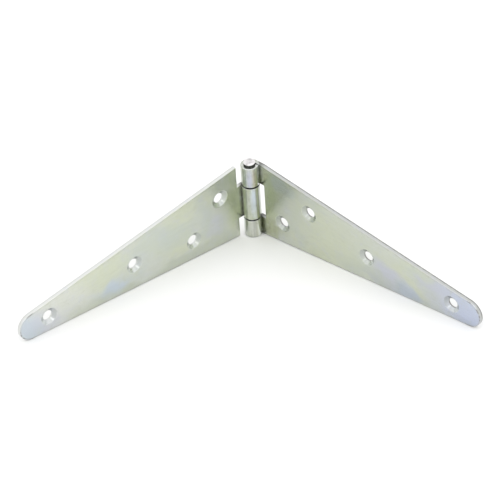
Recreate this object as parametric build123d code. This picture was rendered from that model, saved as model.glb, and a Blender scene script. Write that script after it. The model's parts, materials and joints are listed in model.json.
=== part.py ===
from build123d import *
from math import asin, atan, atan2, cos, degrees, hypot, radians, sin, sqrt, tan
import os

# Steel strap hinge: two tapered leaves that turn on one headed pin.
#
# Each leaf is one piece of sheet. Its tabs are rolled round the pin into knuckles, so its back
# is flush with the back of the barrel and the barrel stands proud of its front. The hinge is
# built about its pin, opened, and stood on the end of the barrel and both tips.
#
# Final frame: +X from the left leaf to the right one, +Y from the tips to the barrel, +Z up.
# The origin is at the middle of the bounding box, on the surface that the hinge stands on.
# Lengths are in millimetres and angles in degrees.

# Sheet, pin and barrel
SHEET = 1.8
PIN_RADIUS = 2.25
RUNNING_CLEARANCE = 0.05  # radial, in the middle knuckle; the outer two grip the pin
BARREL_LENGTH = 38.8
MIDDLE_KNUCKLE_LENGTH = 17.5
MIDDLE_KNUCKLE_OFFSET = -0.5  # the middle knuckle sits a little nearer the foot
KNUCKLE_GAP = 0.65
KNUCKLE_RIM_RADIUS = 0.35
ROLL_END_ANGLE = -31.0  # where the rolled sheet stops, just short of its own leaf's front

# Leaf
LEAF_LENGTH = 127.0  # pin axis to tip
ROOT_DISTANCE = 5.85  # pin axis to the leaf's inner edge
TIP_RADIUS = 6.65
FRONT_EDGE_RADIUS = 0.4  # the side that the shear rolled over
BACK_EDGE_RADIUS = 0.1
ROOT_EDGE_RADIUS = 0.3  # the inner edge, beside the barrel

# Screw holes: distance from the pin axis, and offset across the leaf
SCREW_HOLES = [(16.0, 7.5), (32.2, -6.6), (65.3, 0.0), (111.8, 0.0)]
HOLE_RADIUS = 2.35
COUNTERSINK_RADIUS = 4.2
COUNTERSINK_DEPTH = 1.15
COUNTERSINK_RIM_RADIUS = 0.9  # the pressed rim blends into the front face

# Ends of the pin
HEAD_RADIUS = 2.6
HEAD_NECK = 0.7  # how far the pin shows between the barrel and its head
HEAD_FLARE = 0.2
HEAD_RIM = 0.15
HEAD_DOME = 0.2
HEAD_MOUTH = 0.35  # chamfer of the barrel's bore, under the head
FOOT_MOUTH = 0.6  # chamfer that the foot is riveted into

# How it is set
OPENING_ANGLE = 95.1  # between the two leaves' front faces

BARREL_TOP = BARREL_LENGTH / 2
MIDDLE_TOP = MIDDLE_KNUCKLE_OFFSET + MIDDLE_KNUCKLE_LENGTH / 2
MIDDLE_FOOT = MIDDLE_KNUCKLE_OFFSET - MIDDLE_KNUCKLE_LENGTH / 2
RUNNING_BORE = PIN_RADIUS + RUNNING_CLEARANCE
TIP_CENTRE = LEAF_LENGTH - TIP_RADIUS
HALF_OPENING = OPENING_ANGLE / 2


def near(value, target):
    return abs(value - target) < 1e-3


def edges_at(body, y):
    """Edges that lie in one face of a leaf."""
    return [e for e in body.edges() if near(e.position_at(0).Y, y) and near(e.position_at(1).Y, y)]


def taper():
    """Slope of the long edges: they start level with the barrel's ends and touch the tip's arc."""
    run = TIP_CENTRE - ROOT_DISTANCE
    return atan2(BARREL_TOP, run) - asin(TIP_RADIUS / hypot(run, BARREL_TOP))


def plate(bore):
    """The flat of a leaf. X runs from the pin axis to the tip and Y points out of the front."""
    touch_x = TIP_CENTRE + TIP_RADIUS * sin(taper())
    touch_z = TIP_RADIUS * cos(taper())
    outline = [
        Line((ROOT_DISTANCE, -BARREL_TOP), (touch_x, -touch_z)),
        ThreePointArc((touch_x, -touch_z), (LEAF_LENGTH, 0), (touch_x, touch_z)),
        Line((touch_x, touch_z), (ROOT_DISTANCE, BARREL_TOP)),
        Line((ROOT_DISTANCE, BARREL_TOP), (ROOT_DISTANCE, -BARREL_TOP)),
    ]
    front = Plane(origin=(0, -bore, 0), x_dir=(1, 0, 0), z_dir=(0, -1, 0))
    flat = extrude(front * make_face(Wire(outline)), SHEET)
    for y, radius in ((-bore, FRONT_EDGE_RADIUS), (-bore - SHEET, BACK_EDGE_RADIUS)):
        flat = fillet([e for e in edges_at(flat, y) if not near(e.center().X, ROOT_DISTANCE)], radius)
    return flat


def rounded_bar(radius, foot, top):
    """A round bar with eased rims."""
    bar = Pos(0, 0, (foot + top) / 2) * Cylinder(radius, top - foot)
    return fillet(bar.edges().filter_by(GeomType.CIRCLE), KNUCKLE_RIM_RADIUS)


def knuckle(bore, foot, top):
    """A tab rolled round the pin, from the leaf's back over the front and down to its face."""
    radius = bore + SHEET
    reach = 2 * radius
    seam = Polyline(
        (0, 0),
        (0, -reach),
        (reach, -reach),
        (reach, reach * tan(radians(ROLL_END_ANGLE))),
        close=True,
    )
    roll = rounded_bar(radius, foot, top)
    roll -= Pos(0, 0, foot) * extrude(make_face(seam), top - foot)
    tab_length = ROOT_DISTANCE + 0.5
    tab = Pos(tab_length / 2, -bore - SHEET / 2, (foot + top) / 2) * Box(tab_length, SHEET, top - foot)
    return roll + tab


def screw_hole(bore, distance, offset):
    """A screw hole with its countersink in the front face."""
    shank = Cylinder(HOLE_RADIUS, 4 * SHEET)
    sink = Pos(0, 0, -COUNTERSINK_DEPTH / 2) * Cone(HOLE_RADIUS, COUNTERSINK_RADIUS, COUNTERSINK_DEPTH)
    above = Pos(0, 0, SHEET / 2) * Cylinder(COUNTERSINK_RADIUS, SHEET)
    return Plane(origin=(distance, -bore, offset), z_dir=(0, 1, 0)) * (shank + sink + above)


def mouth(size):
    """Chamfer at the end of a bore that fits the pin."""
    return Pos(0, 0, BARREL_TOP - size / 2) * Cone(PIN_RADIUS, PIN_RADIUS + size, size)


def leaf(bore, knuckles):
    """One leaf, with a knuckle for each (foot, top) pair."""
    body = plate(bore)
    for foot, top in knuckles:
        body += knuckle(bore, foot, top)
    inner = [e for e in edges_at(body, -bore) if near(e.center().X, ROOT_DISTANCE)]
    body = fillet(inner, ROOT_EDGE_RADIUS)
    body -= Cylinder(bore, 2 * BARREL_LENGTH)
    for distance, offset in SCREW_HOLES:
        body -= screw_hole(bore, distance, offset)
    circles = [e for e in edges_at(body, -bore) if e.geom_type == GeomType.CIRCLE]
    return fillet([e for e in circles if near(e.radius, COUNTERSINK_RADIUS)], COUNTERSINK_RIM_RADIUS)


def hinge_pin():
    """The pin: a shallow domed head, a plain shank and a foot riveted into its chamfer."""
    neck = BARREL_TOP + HEAD_NECK
    flare = neck + HEAD_FLARE
    rim = flare + HEAD_RIM
    foot = -BARREL_TOP
    side = Polyline(
        (0, rim + HEAD_DOME),
        (0, foot),
        (PIN_RADIUS + FOOT_MOUTH, foot),
        (PIN_RADIUS, foot + FOOT_MOUTH),
        (PIN_RADIUS, neck),
        (HEAD_RADIUS, flare),
        (HEAD_RADIUS, rim),
    )
    ball = (HEAD_RADIUS**2 + HEAD_DOME**2) / (2 * HEAD_DOME)
    dome = ThreePointArc(
        (HEAD_RADIUS, rim),
        (HEAD_RADIUS / 2, rim + HEAD_DOME - ball + sqrt(ball**2 - HEAD_RADIUS**2 / 4)),
        (0, rim + HEAD_DOME),
    )
    return revolve(Plane.XZ * make_face(side + dome), Axis.Z)


def lean():
    """How far the barrel leans so that its end and both tips stand on one surface."""
    reach = TIP_CENTRE * cos(radians(HALF_OPENING)) - RUNNING_BORE - SHEET
    reach -= RUNNING_BORE * sin(radians(HALF_OPENING))
    slope = 0.0
    for _ in range(20):
        drop = TIP_RADIUS * hypot(1, cos(radians(HALF_OPENING)) * slope)
        slope = (BARREL_TOP - drop) / reach
    return degrees(atan(slope))


# The right leaf is turned over, so its knuckles are given foot upwards here.
left_leaf = leaf(RUNNING_BORE, [(MIDDLE_FOOT, MIDDLE_TOP)])
right_leaf = leaf(
    PIN_RADIUS,
    [(-BARREL_TOP, -MIDDLE_TOP - KNUCKLE_GAP), (KNUCKLE_GAP - MIDDLE_FOOT, BARREL_TOP)],
)
right_leaf -= mouth(FOOT_MOUTH) + Rot(180, 0, 0) * mouth(HEAD_MOUTH)

opened = {
    "left_leaf": Rot(0, 0, -90 - HALF_OPENING) * left_leaf,
    "right_leaf": Rot(0, 0, HALF_OPENING - 90) * Rot(180, 0, 0) * right_leaf,
    "hinge_pin": hinge_pin(),
}
stood = {name: Rot(lean(), 0, 0) * shape for name, shape in opened.items()}
box = Compound(list(stood.values())).bounding_box()
to_origin = Pos(-box.center().X, -box.center().Y, -box.min.Z)

os.makedirs("parts", exist_ok=True)
for name, shape in stood.items():
    placed = to_origin * shape
    export_step(placed, f"parts/{name}.step")
    print(name, len(placed.solids()), round(placed.volume, 2), placed.is_valid)

print("lean", round(lean(), 5), "pin axis at", to_origin.position)
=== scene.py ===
import json
from math import asin, atan2, cos, hypot, radians, sin

import bpy
from mathutils import Matrix, Vector

# A zinc plated strap hinge, standing half open on a white table in soft light.
# Lengths are in metres and angles in degrees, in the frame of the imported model.

# Camera
CAMERA_AZIMUTH = 2.88
CAMERA_ELEVATION = 31.00
CAMERA_ROLL = -3.28
CAMERA_DISTANCE = 0.9692
CAMERA_AIM = Vector((0.0000, -0.0018, 0.0170))
LENS = 163.2
SENSOR = 36.0
CLIP_END = 20

# Light: each lamp's azimuth round the hinge (0 is in front, positive to the right), elevation,
# distance, size and power
ROOM_LIGHT = 1.12
LAMPS = {
    "front_high": (0, 55, 1.3, (1.0, 0.8), 2.9),
    "left_high": (-50, 42, 1.5, (0.9, 0.8), 1.6),
    "right_high": (50, 42, 1.5, (0.9, 0.8), 1.8),
    "top_back": (180, 72, 1.3, (1.2, 0.8), 0.6),
    "left_spot": (-31, 4, 1.6, (0.4, 0.3), 0.6),
    "right_spot": (31, 4, 1.6, (0.4, 0.3), 0.6),
}

TABLE_WHITE = (0.860, 0.860, 0.855)
TABLE_ROUGHNESS = 0.9
TABLE_GLOSS = 0.1
TABLE_SIZE = 8

# Zinc plate and the tints of its passivation film, as linear colours, with painted shade and painted
# highlights among them
ZINC = (0.565, 0.590, 0.545)
STRAW = (0.575, 0.605, 0.490)
OLIVE = (0.500, 0.550, 0.370)
# Olive film darkened as painted shade, in the right leaf's lower corner by the barrel
SHADED_OLIVE = (0.400, 0.420, 0.290)
SPECK = (0.500, 0.520, 0.430)
# Painted shade: a darker film tint for the left leaf's lower strip and the middle knuckle
SHADED = (0.490, 0.520, 0.450)
COOL = (0.500, 0.545, 0.530)
LILAC = (0.530, 0.545, 0.620)
BLUE = (0.490, 0.560, 0.670)
TIP_BLUE = (0.510, 0.555, 0.680)
# Blue film darkened as painted shade, for the right leaf's lower strip
SHADED_BLUE = (0.430, 0.460, 0.500)
PALE = (0.635, 0.645, 0.610)
BROWN = (0.560, 0.520, 0.440)
SILVER = (0.590, 0.640, 0.650)
# A painted highlight: the light reflection down the right sides of the top and bottom knuckles
PAINTED_EDGE_HIGHLIGHT = (0.930, 0.950, 0.920)
# Painted shade: down the dark sides of the knuckles and round the barrel's foot on the table
PAINTED_EDGE_SHADE = (0.380, 0.400, 0.380)

# Pressed, sheared and worn metal, with painted light and painted shade in some of them, and the near black
# of grime and painted shade in the joints and beside the barrel
CONE = (0.600, 0.625, 0.615)
# Painted shade on the side of each countersink nearest the barrel
CONE_SHADE = (0.420, 0.440, 0.430)
# The sheared sides are one metal on both leaves: lighter on the left as painted light, darker on the right
# as painted shade
LEFT_SHEARED_PAINTED_LIT = (0.610, 0.620, 0.605)
RIGHT_SHEARED_PAINTED_SHADE = (0.470, 0.480, 0.470)
FRACTURED = (0.200, 0.200, 0.190)
# Rubbed wear, which also paints shade along the flat's edges
WORN_AND_SHADE = (0.420, 0.420, 0.390)
# Grime in the joints with painted shade, and painted shade in the corner beside the barrel
GRIME_AND_SHADE = (0.045, 0.045, 0.040)

# The pin, and where its head is smudged: along the right leaf, out of its front, and any height
PIN_END = (0.800, 0.780, 0.785)
PIN_WORN = (0.540, 0.520, 0.525)
# Painted shade round the sides of the pin's head
PIN_RIM_SHADE = (0.360, 0.355, 0.350)
PIN_SMUDGE = (0.440, 0.425, 0.430)
# Painted shade on the pin's neck under its head and down the shank
PIN_SHANK_SHADE = (0.150, 0.155, 0.145)
HEAD_SMUDGE = (-0.0013, -0.0018, 0.0)

# Patches of film, some darkened as painted shade: distance along the leaf, offset across it, length, width,
# tint and strength.
# Both leaves have the same layout of holes, so the offset points up the pin on the left leaf
# and down it on the right one.
LEFT_FILM_AND_SHADE = [
    (0.009, 0.002, 0.008, 0.012, OLIVE, 0.7),
    (0.020, -0.006, 0.009, 0.006, LILAC, 0.5),
    (0.045, 0.002, 0.014, 0.008, COOL, 0.6),
    # Painted shade along the lower strip of the left leaf
    (0.060, -0.016, 0.070, 0.007, SHADED, 0.9),
    (0.054, -0.012, 0.018, 0.004, SHADED, 0.8),
    (0.092, -0.009, 0.030, 0.004, SHADED, 0.8),
    (0.078, -0.007, 0.013, 0.006, BLUE, 0.7),
    (0.106, 0.000, 0.022, 0.016, PALE, 0.7),
    (0.113, -0.002, 0.010, 0.008, LILAC, 0.6),
    (0.127, 0.000, 0.013, 0.010, BLUE, 0.6),
]
RIGHT_FILM_AND_SHADE = [
    (0.007, 0.000, 0.010, 0.018, OLIVE, 0.8),
    # Painted shade in the right leaf's lower corner by the barrel
    (0.009, 0.014, 0.009, 0.006, SHADED_OLIVE, 0.8),
    (0.017, -0.012, 0.010, 0.006, COOL, 0.7),
    (0.045, 0.000, 0.030, 0.016, STRAW, 0.7),
    (0.076, 0.002, 0.010, 0.006, LILAC, 0.9),
    (0.087, 0.008, 0.010, 0.005, BLUE, 0.8),
    (0.089, -0.003, 0.010, 0.005, STRAW, 0.5),
    (0.104, -0.006, 0.009, 0.004, LILAC, 0.6),
    (0.109, 0.000, 0.014, 0.014, LILAC, 0.7),
    (0.125, 0.002, 0.023, 0.016, TIP_BLUE, 0.9),
    # Painted shade along the lower strip of the right leaf, in two patches
    (0.084, 0.009, 0.024, 0.005, SHADED_BLUE, 0.6),
    (0.121, 0.006, 0.012, 0.004, SHADED_BLUE, 0.6),
]

# Bands of film on the knuckles, and of painted highlight and painted shade: turn round the pin
# from the leaf's own direction, offset along the pin, half width as an angle, half length, tint
# and strength
LEFT_BANDS = [
    # Painted shade down the left part of the middle knuckle
    (8, 0.000, 24, 0.014, SHADED, 0.9),
    (-26, 0.000, 20, 0.014, PALE, 0.9),
    (60, 0.001, 26, 0.011, SILVER, 1.0),
    (66, 0.004, 14, 0.008, BLUE, 0.5),
    # Painted shade just left of the middle knuckle's bright stripe
    (36, -0.001, 8, 0.009, SHADED, 0.8),
    # Painted shade down the right side of the middle knuckle
    (112, 0.000, 16, 0.012, PAINTED_EDGE_SHADE, 0.6),
]
RIGHT_BANDS = [
    (50, -0.013, 26, 0.008, LILAC, 1.0),
    (82, -0.013, 18, 0.008, COOL, 0.8),
    (18, -0.013, 18, 0.007, BROWN, 0.8),
    # Painted shade down the left side of the top knuckle, and a painted highlight down its right edge
    (102, -0.013, 22, 0.009, PAINTED_EDGE_SHADE, 0.7),
    (-14, -0.013, 13, 0.009, PAINTED_EDGE_HIGHLIGHT, 1.0),
    (44, 0.014, 34, 0.009, PALE, 0.9),
    # Painted shade down the left side of the bottom knuckle, a painted highlight on its right side, and
    # painted shade round the barrel's foot where it stands on the table
    (98, 0.014, 12, 0.009, PAINTED_EDGE_SHADE, 0.5),
    (0, 0.014, 22, 0.009, PAINTED_EDGE_HIGHLIGHT, 0.9),
    (48, 0.0194, 90, 0.0007, PAINTED_EDGE_SHADE, 0.9),
]
PATCH_CORE = 0.3  # a patch or band is whole inside this fraction of its size
PATCH_FRINGE = 1.2  # and gone outside this one

# What else differs between the leaves: the overall tone; the colour of the sheared sides, lighter on
# the left as painted light and darker on the right as painted shade; how dark their torn band is,
# which on the right leaf is partly painted shade; and how far from the pin axis the painted shade in
# the corner reaches
LEFT_FINISH = {
    "film_and_shade_patches": LEFT_FILM_AND_SHADE,
    "bands": LEFT_BANDS,
    "tone": 1.10,
    "sheared": LEFT_SHEARED_PAINTED_LIT,
    "torn_strength": 0.15,
    "corner_shade_reach": 0.0062,
}
RIGHT_FINISH = {
    "film_and_shade_patches": RIGHT_FILM_AND_SHADE,
    "bands": RIGHT_BANDS,
    "tone": 1.04,
    "sheared": RIGHT_SHEARED_PAINTED_SHADE,
    "torn_strength": 1.0,
    "corner_shade_reach": 0.0074,
}

# Noise patterns: scale, then detail, roughness and distortion as far as each one sets them
WANDER = (60.0,)
CLOUDS = (38.0, 2.0, 0.5, 0.6)
DRIFTS = (55.0, 2.0, 0.5, 0.4)
STREAKS = (75.0, 3.0, 0.6)
SPECKS = (330.0, 3.0, 0.65, 0.3)
MARKS = (170.0, 3.0, 0.6)
ROLLING = (900.0, 3.0, 0.6)
GRAIN = (1900.0, 2.0, 0.6)
FLECKS = (700.0, 3.0, 0.6)
RUBBING = (420.0, 3.0, 0.6)
NICKS = (240.0, 2.0)
TEARING = (900.0,)
PIN_MOTTLE = (620.0, 3.0, 0.6)
PIN_DENTS = (900.0, 3.0)

WANDER_REACH = 0.02  # full swing of the patches' wandering outlines
STREAKED_ROOT = 0.022  # the root's olive streaks end here, from the pin axis
RUB_WIDTH = 0.0011  # wear and painted shade reach this far in from the flat's edges
RUB_RAGGEDNESS = 0.0004
NICK_DEPTH = 0.0007  # dark nicks reach this far in from the round tip's edge
TEAR_RAGGEDNESS = 0.0002
CORNER_SHADE = 0.75  # strength of the painted shade beside the barrel
COUNTERSINK_BRIGHTNESS = 0.65  # how far pressed metal, with its painted shade, shows through the film
LEAF_BUMP = 0.000004
LEAF_BUMP_STRENGTH = 0.3
PIN_BUMP = 0.00005
PIN_BUMP_STRENGTH = 0.5

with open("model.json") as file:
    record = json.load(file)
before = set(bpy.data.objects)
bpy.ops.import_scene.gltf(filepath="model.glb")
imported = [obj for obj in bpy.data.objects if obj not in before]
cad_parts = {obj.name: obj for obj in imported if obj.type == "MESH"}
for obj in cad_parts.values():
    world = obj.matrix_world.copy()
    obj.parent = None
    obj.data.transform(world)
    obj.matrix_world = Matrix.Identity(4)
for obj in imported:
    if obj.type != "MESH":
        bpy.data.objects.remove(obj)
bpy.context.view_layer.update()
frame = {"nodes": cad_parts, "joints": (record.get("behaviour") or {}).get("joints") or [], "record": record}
record = frame["record"]
joint = frame["joints"][0]
PIN = Vector(joint["pos_m"])
PIN_AXIS = Vector(joint["axis"]).normalized()

# Dimensions of the hinge that the finishes follow. The leaf's length and its root are measured
# from the pin axis.
BARREL_LENGTH = 0.0388
BARREL_RADIUS = 0.0041
PIN_RADIUS = 0.00225
SHEET = 0.0018
BARREL_BAND = (0.0001, 0.0004)  # outside the barrel, where its finish turns into the flat's
LEAF_LENGTH = 0.1270
ROOT_DISTANCE = 0.00585
TIP_RADIUS = 0.00665
TIP_CENTRE = LEAF_LENGTH - TIP_RADIUS
TAPER = atan2(BARREL_LENGTH / 2, TIP_CENTRE - ROOT_DISTANCE)
TAPER -= asin(TIP_RADIUS / hypot(TIP_CENTRE - ROOT_DISTANCE, BARREL_LENGTH / 2))


def leaf_axes(leaf):
    """Rotation whose X runs along a leaf to its tip, Y out of its front and Z along the pin."""
    tip = next(m for m in record["mounts"] if m["name"] == leaf + "_tip_screw")
    front = Vector(tip["axis"]).normalized()
    along = front.cross(PIN_AXIS)
    if along.dot(Vector(tip["pos_m"]) - PIN) < 0:
        along = -along
    return Matrix((along, front, along.cross(front))).transposed()


class Nodes:
    """Short calls for building one material's node tree."""

    def __init__(self, name):
        self.material = bpy.data.materials.new(name)
        self.material.use_nodes = True
        self.tree = self.material.node_tree
        self.shader = self.tree.nodes["Principled BSDF"]

    def add(self, kind, inputs=None, **settings):
        node = self.tree.nodes.new(kind)
        for key, value in settings.items():
            setattr(node, key, value)
        for key, value in (inputs or {}).items():
            self.put(node.inputs[key], value)
        return node

    def put(self, socket, value):
        if isinstance(value, bpy.types.NodeSocket):
            self.tree.links.new(value, socket)
        else:
            socket.default_value = value

    def local(self, output, rotation, origin=(0, 0, 0)):
        """A position or normal turned into a leaf's own axes: along, out of the front, across."""
        source = self.add("ShaderNodeTexCoord").outputs[output]
        mapping = self.add("ShaderNodeMapping", {"Vector": source}, vector_type="TEXTURE")
        mapping.inputs["Location"].default_value = origin
        mapping.inputs["Rotation"].default_value = rotation.to_euler()
        return mapping.outputs["Vector"]

    def split(self, vector):
        return self.add("ShaderNodeSeparateXYZ", {"Vector": vector}).outputs

    def vector(self, operation, a, b):
        return self.add("ShaderNodeVectorMath", {0: a, 1: b}, operation=operation).outputs[0]

    def stretch(self, vector, scale):
        return self.vector("MULTIPLY", vector, scale)

    def length(self, vector):
        return self.add("ShaderNodeVectorMath", {0: vector}, operation="LENGTH").outputs["Value"]

    def length_of(self, x, y):
        return self.length(self.add("ShaderNodeCombineXYZ", {"X": x, "Y": y}).outputs[0])

    def noise(self, vector, scale, detail=2.0, roughness=0.5, distortion=0.0, output="Fac"):
        inputs = {
            "Vector": vector,
            "Scale": scale,
            "Detail": detail,
            "Roughness": roughness,
            "Distortion": distortion,
        }
        return self.add("ShaderNodeTexNoise", inputs).outputs[output]

    def math(self, operation, a, b=0.0):
        return self.add("ShaderNodeMath", {0: a, 1: b}, operation=operation).outputs[0]

    def plus(self, a, b):
        return self.math("ADD", a, b)

    def minus(self, a, b):
        return self.math("SUBTRACT", a, b)

    def times(self, a, b):
        return self.math("MULTIPLY", a, b)

    def remap(self, value, low, high, to_low=0.0, to_high=1.0):
        """Carries a value smoothly from one range to another, and holds it at the ends."""
        inputs = {
            "Value": value,
            "From Min": low,
            "From Max": high,
            "To Min": to_low,
            "To Max": to_high,
        }
        return self.add("ShaderNodeMapRange", inputs, interpolation_type="SMOOTHSTEP").outputs[0]

    def fade(self, value, whole, gone, strength=1.0):
        """A mask that has its strength up to one value and falls to nothing at the next."""
        return self.remap(value, whole, gone, strength, 0.0)

    def blend(self, amount, under, over, mode="MIX"):
        """Lays one colour over another; each is a socket or a plain red, green and blue."""
        node = self.add("ShaderNodeMix", data_type="RGBA", blend_type=mode)
        self.put(node.inputs["Factor"], amount)
        for side, color in (("A", under), ("B", over)):
            self.put(node.inputs[side], (*color, 1) if isinstance(color, tuple) else color)
        return node.outputs["Result"]

    def metal(self, color, roughness, height, distance, strength):
        """Joins a metal's colour, roughness and bump to the shader, and gives the material."""
        bump_inputs = {"Height": height, "Distance": distance, "Strength": strength}
        bump = self.add("ShaderNodeBump", bump_inputs)
        self.put(self.shader.inputs["Base Color"], color)
        self.put(self.shader.inputs["Roughness"], roughness)
        self.put(self.shader.inputs["Normal"], bump.outputs[0])
        self.shader.inputs["Metallic"].default_value = 1.0
        return self.material


class LeafSurface:
    """Where a point is on a leaf: its place, its facing and the masks that follow from them."""

    def __init__(self, n, rotation):
        self.place = n.local("Object", rotation, PIN)
        self.along, self.out, self.across = n.split(self.place)
        facing = n.split(n.local("Normal", rotation))
        self.facing_along = facing[0]
        self.facing_out = n.math("ABSOLUTE", facing[1])
        self.facing_across = n.math("ABSOLUTE", facing[2])
        self.facing_up = n.split(n.add("ShaderNodeTexCoord").outputs["Normal"])[2]
        self.from_middle = n.math("ABSOLUTE", self.across)
        self.around = n.length(n.stretch(self.place, (1, 1, 0)))
        self.turn = n.math("ARCTAN2", self.out, self.along)
        self.margin = self.edge_distance(n)
        band_start, band_end = BARREL_BAND
        self.flat = n.remap(self.around, BARREL_RADIUS + band_start, BARREL_RADIUS + band_end)
        self.barrel = n.minus(1.0, self.flat)
        self.cone = self.countersinks(n)

    def edge_distance(self, n):
        """How far a point of the flat is from the leaf's tapered sides or its round tip."""
        half_width = n.minus(BARREL_LENGTH / 2, self.from_middle)
        run = n.minus(self.along, ROOT_DISTANCE)
        side = n.minus(n.times(half_width, cos(TAPER)), n.times(run, sin(TAPER)))
        past = n.minus(self.along, TIP_CENTRE)
        tip = n.minus(TIP_RADIUS, n.length_of(past, self.across))
        on_tip = n.math("GREATER_THAN", past, 0.0)
        return n.plus(side, n.times(on_tip, n.minus(tip, side)))

    def countersinks(self, n):
        """The sloping faces of the flat, away from its rounded edges."""
        sloping = n.times(n.remap(self.facing_out, 0.70, 0.80), n.fade(self.facing_out, 0.86, 0.97))
        inside = n.times(self.flat, n.remap(self.margin, 0.0006, 0.0009))
        return n.times(sloping, inside)


def film(n, surface, patches):
    """Colour of the film on the flat zinc: greenish clouds with bluish patches that wander, and patches of
    painted shade.
    """
    place = surface.place
    centred = n.vector("SUBTRACT", n.noise(place, *WANDER, output="Color"), (0.5, 0.5, 0.5))
    warped = n.vector("ADD", place, n.stretch(centred, (WANDER_REACH,) * 3))
    color = n.blend(n.remap(n.noise(place, *CLOUDS), 0.40, 0.66), ZINC, STRAW)
    color = n.blend(n.remap(n.noise(warped, *DRIFTS), 0.50, 0.70, 0.0, 0.45), color, COOL)
    for along, across, length, width, tint, strength in patches:
        offset = n.vector("SUBTRACT", warped, (along, 0, across))
        distance = n.length(n.stretch(offset, (1 / length, 0, 1 / width)))
        color = n.blend(n.fade(distance, PATCH_CORE, PATCH_FRINGE, strength), color, tint)
    streaks = n.remap(n.noise(n.stretch(place, (9, 1, 1)), *STREAKS), 0.45, 0.7, 0.0, 0.6)
    near_root = n.fade(surface.around, ROOT_DISTANCE, STREAKED_ROOT)
    return n.blend(n.times(streaks, near_root), color, OLIVE)


def knuckle_film_and_light(n, surface, color, bands):
    """Bands of film, painted highlight and painted shade that run along the knuckles."""
    for turn, across, width, length, tint, strength in bands:
        sideways = n.math("DIVIDE", n.minus(surface.turn, radians(turn)), radians(width))
        lengthways = n.math("DIVIDE", n.minus(surface.across, across), length)
        distance = n.length_of(sideways, lengthways)
        amount = n.times(n.fade(distance, PATCH_CORE, PATCH_FRINGE, strength), surface.barrel)
        color = n.blend(amount, color, tint)
    return color


def rub_and_shade_edges(n, surface, color):
    """Rubbed wear and painted shade along the flat's edges, with a few nicks in the round tip."""
    broken = n.remap(n.noise(surface.place, *RUBBING), 0.3, 0.7, -RUB_RAGGEDNESS, RUB_RAGGEDNESS)
    # Rubbed wear along the flat's edges, which also paints shade there
    rubbed_and_shaded = n.fade(n.plus(surface.margin, broken), 0.0002, RUB_WIDTH, 0.45)
    color = n.blend(n.times(rubbed_and_shaded, surface.flat), color, WORN_AND_SHADE)

    at_tip = n.remap(surface.along, TIP_CENTRE - 0.002, TIP_CENTRE)
    near_edge = n.times(n.fade(surface.margin, 0.0003, NICK_DEPTH, 0.75), at_tip)
    nicks = n.remap(n.noise(surface.place, *NICKS), 0.58, 0.64)
    return n.blend(n.times(nicks, near_edge), color, FRACTURED)


def press_countersinks(n, surface, color):
    """Brighter metal in the countersinks, with painted shade on the side nearest the barrel."""
    pressed_and_shade = n.blend(n.remap(surface.facing_along, 0.0, 0.35), CONE, CONE_SHADE)
    return n.blend(n.times(surface.cone, COUNTERSINK_BRIGHTNESS), color, pressed_and_shade)


def shear_sides(n, surface, color, sheared, torn_strength):
    """Sides of the sheet, cut bright at the front and torn towards the back, with painted light and shade in
    each leaf's colour for them, and a painted highlight round the knuckle rims.
    """
    side = n.times(n.fade(surface.facing_out, 0.35, 0.65), surface.flat)
    depth = n.minus(n.math("ABSOLUTE", surface.out), BARREL_RADIUS - SHEET)
    noise = n.noise(surface.place, *TEARING)
    ragged = n.plus(depth, n.remap(noise, 0.0, 1.0, -TEAR_RAGGEDNESS, TEAR_RAGGEDNESS))
    torn = n.remap(ragged, SHEET * 0.6, SHEET * 0.75, 0.0, torn_strength)
    color = n.blend(side, color, sheared)
    color = n.blend(n.times(side, torn), color, FRACTURED)
    # A painted highlight: a light ring at the rounded ends of each knuckle
    rim_highlight = n.times(n.remap(surface.facing_across, 0.15, 0.4, 0.0, 0.6), surface.barrel)
    return n.blend(rim_highlight, color, sheared)


def joint_faces(n, surface):
    """Mask of the faces where knuckles meet, darkened with grime and painted shade.

    The barrel's own two ends stay clean, and beside the barrel the faces that look up nearly so:
    the painted shade falls mainly on the faces that look down.
    """
    facing = n.remap(surface.facing_across, 0.5, 0.9)
    inner = n.fade(surface.from_middle, BARREL_LENGTH * 0.45, BARREL_LENGTH * 0.47)
    near_barrel = n.fade(surface.around, ROOT_DISTANCE, ROOT_DISTANCE + 0.001)
    looks_up = n.times(n.remap(surface.facing_up, 0.3, 0.7, 0.0, 0.85), surface.flat)
    held_and_shaded = n.times(near_barrel, n.minus(1.0, looks_up))
    return n.times(n.times(facing, inner), held_and_shaded)


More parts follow.
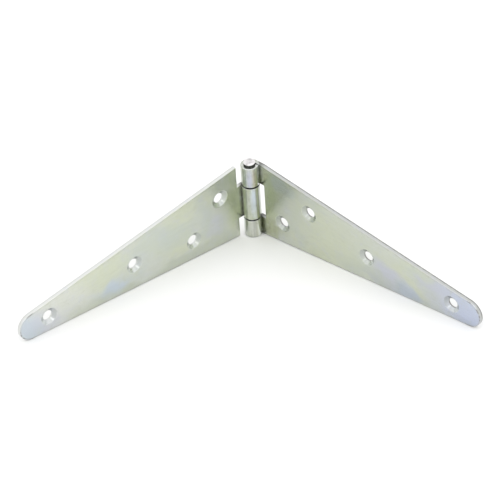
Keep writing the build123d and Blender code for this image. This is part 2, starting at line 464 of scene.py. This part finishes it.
def zinc(name, rotation, film_and_shade_patches, bands, tone, sheared, torn_strength, corner_shade_reach):
    """Bright zinc plate on sheet steel, with sheared sides, painted light and shade on its edges and
    knuckles, grime and painted shade in the barrel's joints, and painted shade in the corner beside it.
    """
    n = Nodes(name)
    surface = LeafSurface(n, rotation)
    place = surface.place
    color = film(n, surface, film_and_shade_patches)
    color = knuckle_film_and_light(n, surface, color, bands)
    color = rub_and_shade_edges(n, surface, color)
    color = press_countersinks(n, surface, color)
    color = shear_sides(n, surface, color, sheared, torn_strength)

    # Painted shade in the corner beside the barrel, and grime with painted shade in the joints
    corner = n.times(n.fade(surface.around, BARREL_RADIUS, corner_shade_reach, CORNER_SHADE), surface.flat)
    joint_grime_and_shade = joint_faces(n, surface)
    color = n.blend(n.math("MAXIMUM", corner, joint_grime_and_shade), color, GRIME_AND_SHADE)

    specks = n.noise(place, *SPECKS)
    color = n.blend(n.remap(specks, 0.50, 0.72, 0.0, 0.30), color, LILAC)
    color = n.blend(n.fade(specks, 0.30, 0.46, 0.35), color, SPECK)

    marks = n.noise(n.stretch(place, (1, 14, 14)), *MARKS)
    rolled = n.noise(n.stretch(place, (1, 1, 0.06)), *ROLLING)
    grain = n.noise(place, *GRAIN)
    shade = n.plus(n.remap(marks, 0.3, 0.7, -0.03, 0.03), n.remap(grain, 0.25, 0.75, -0.015, 0.015))
    drawn = n.plus(n.remap(rolled, 0.3, 0.7, -0.14, 0.10), n.remap(specks, 0.3, 0.7, -0.10, 0.10))
    shade = n.plus(n.plus(shade, n.times(drawn, surface.barrel)), tone)
    gray = n.add("ShaderNodeCombineColor", {"Red": shade, "Green": shade, "Blue": shade}).outputs[0]
    color = n.blend(1.0, color, gray, "MULTIPLY")

    rough = n.remap(surface.facing_out, 0.9, 0.98, 0.30, 0.24)
    rough = n.plus(rough, n.remap(n.noise(place, *FLECKS), 0.3, 0.75, -0.01, 0.03))
    rough = n.plus(rough, n.times(surface.barrel, -0.11))
    rough = n.plus(rough, n.times(joint_grime_and_shade, 0.4))
    rough = n.plus(rough, n.times(surface.cone, -0.06))
    height = n.plus(n.times(grain, 0.5), n.times(marks, 0.8))
    height = n.plus(height, n.times(n.times(rolled, surface.barrel), 2.0))
    return n.metal(color, rough, height, LEAF_BUMP, LEAF_BUMP_STRENGTH)


def pin_zinc():
    """The pin: bright on its ends, with a smudged head, painted shade round the sides of its head, and dark
    and dull under the head and along the shank as painted shade.
    """
    n = Nodes("zinc_pin")
    rotation = leaf_axes("right")
    place = n.local("Object", rotation, PIN)
    facing_up = n.times(n.split(n.local("Normal", rotation))[2], -1.0)
    steepness = n.math("ABSOLUTE", facing_up)
    around = n.length(n.stretch(place, (1, 1, 0)))
    shank = n.fade(around, PIN_RADIUS + 0.0001, PIN_RADIUS + 0.0004)
    shank = n.times(shank, n.fade(steepness, 0.3, 0.7))
    under = n.fade(facing_up, -0.6, -0.2)

    mottle = n.remap(n.noise(place, *PIN_MOTTLE), 0.42, 0.66)
    color = n.blend(mottle, PIN_END, PIN_WORN)
    from_smudge = n.stretch(n.vector("SUBTRACT", place, HEAD_SMUDGE), (1, 1, 0))
    color = n.blend(n.fade(n.length(from_smudge), 0.0003, 0.0014, 0.8), color, PIN_SMUDGE)
    # Painted shade round the sides of the head, then under the head and along the shank
    color = n.blend(n.fade(steepness, 0.3, 0.8, 0.9), color, PIN_RIM_SHADE)
    color = n.blend(n.math("MAXIMUM", shank, under), color, PIN_SHANK_SHADE)
    rough = n.remap(mottle, 0.0, 1.0, 0.25, 0.4)
    return n.metal(color, rough, n.noise(place, *PIN_DENTS), PIN_BUMP, PIN_BUMP_STRENGTH)


def finish_node(name, material):
    """Gives a whole piece one material."""
    mesh = frame["nodes"][name].data
    mesh.materials.clear()
    mesh.materials.append(material)


def floor():
    """A plain white table top, on the surface that the hinge stands on."""
    bpy.ops.mesh.primitive_plane_add(size=TABLE_SIZE)
    table = bpy.context.object
    table.name = "table_top"
    paint = Nodes("white_table")
    paint.shader.inputs["Base Color"].default_value = (*TABLE_WHITE, 1)
    paint.shader.inputs["Roughness"].default_value = TABLE_ROUGHNESS
    paint.shader.inputs["Specular IOR Level"].default_value = TABLE_GLOSS
    table.data.materials.append(paint.material)


def aim(thing, azimuth, elevation, distance, target, roll=0.0):
    """Stands a lamp or camera off from a target, looking at it."""
    a = radians(azimuth)
    e = radians(elevation)
    back = Vector((sin(a) * cos(e), -cos(a) * cos(e), sin(e)))
    turn = (-back).to_track_quat("-Z", "Y").to_matrix().to_4x4()
    place = Matrix.Translation(target + distance * back)
    thing.matrix_world = place @ turn @ Matrix.Rotation(radians(roll), 4, "Z")


def lamp(name, azimuth, elevation, distance, size, power):
    """A soft rectangular lamp aimed at the hinge."""
    light = bpy.data.lights.new(name, "AREA")
    light.shape = "RECTANGLE"
    light.size, light.size_y = size
    light.energy = power
    thing = bpy.data.objects.new(name, light)
    thing.visible_camera = False
    bpy.context.scene.collection.objects.link(thing)
    aim(thing, azimuth, elevation, distance, CAMERA_AIM)


def camera():
    """The camera, at the photograph's viewing angle."""
    data = bpy.data.cameras.new("camera")
    data.lens = LENS
    data.sensor_width = SENSOR
    data.clip_end = CLIP_END
    thing = bpy.data.objects.new("camera", data)
    bpy.context.scene.collection.objects.link(thing)
    aim(thing, CAMERA_AZIMUTH, CAMERA_ELEVATION, CAMERA_DISTANCE, CAMERA_AIM, CAMERA_ROLL)
    bpy.context.scene.camera = thing


def studio():
    """A white room with soft lamps; the camera sees the room as pure white."""
    world = bpy.data.worlds.new("white_room")
    bpy.context.scene.world = world
    world.use_nodes = True
    tree = world.node_tree
    background = tree.nodes["Background"]
    background.inputs["Color"].default_value = (1, 1, 1, 1)
    path = tree.nodes.new("ShaderNodeLightPath")
    strength = tree.nodes.new("ShaderNodeMapRange")
    tree.links.new(path.outputs["Is Camera Ray"], strength.inputs["Value"])
    strength.inputs["To Min"].default_value = ROOM_LIGHT
    strength.inputs["To Max"].default_value = 1.0
    tree.links.new(strength.outputs[0], background.inputs["Strength"])
    for name, settings in LAMPS.items():
        lamp(name, *settings)
    bpy.context.scene.view_settings.view_transform = "Standard"


finish_node("left_leaf", zinc("zinc_left_leaf", leaf_axes("left"), **LEFT_FINISH))
finish_node("right_leaf", zinc("zinc_right_leaf", leaf_axes("right"), **RIGHT_FINISH))
finish_node("hinge_pin", pin_zinc())
floor()
studio()
camera()
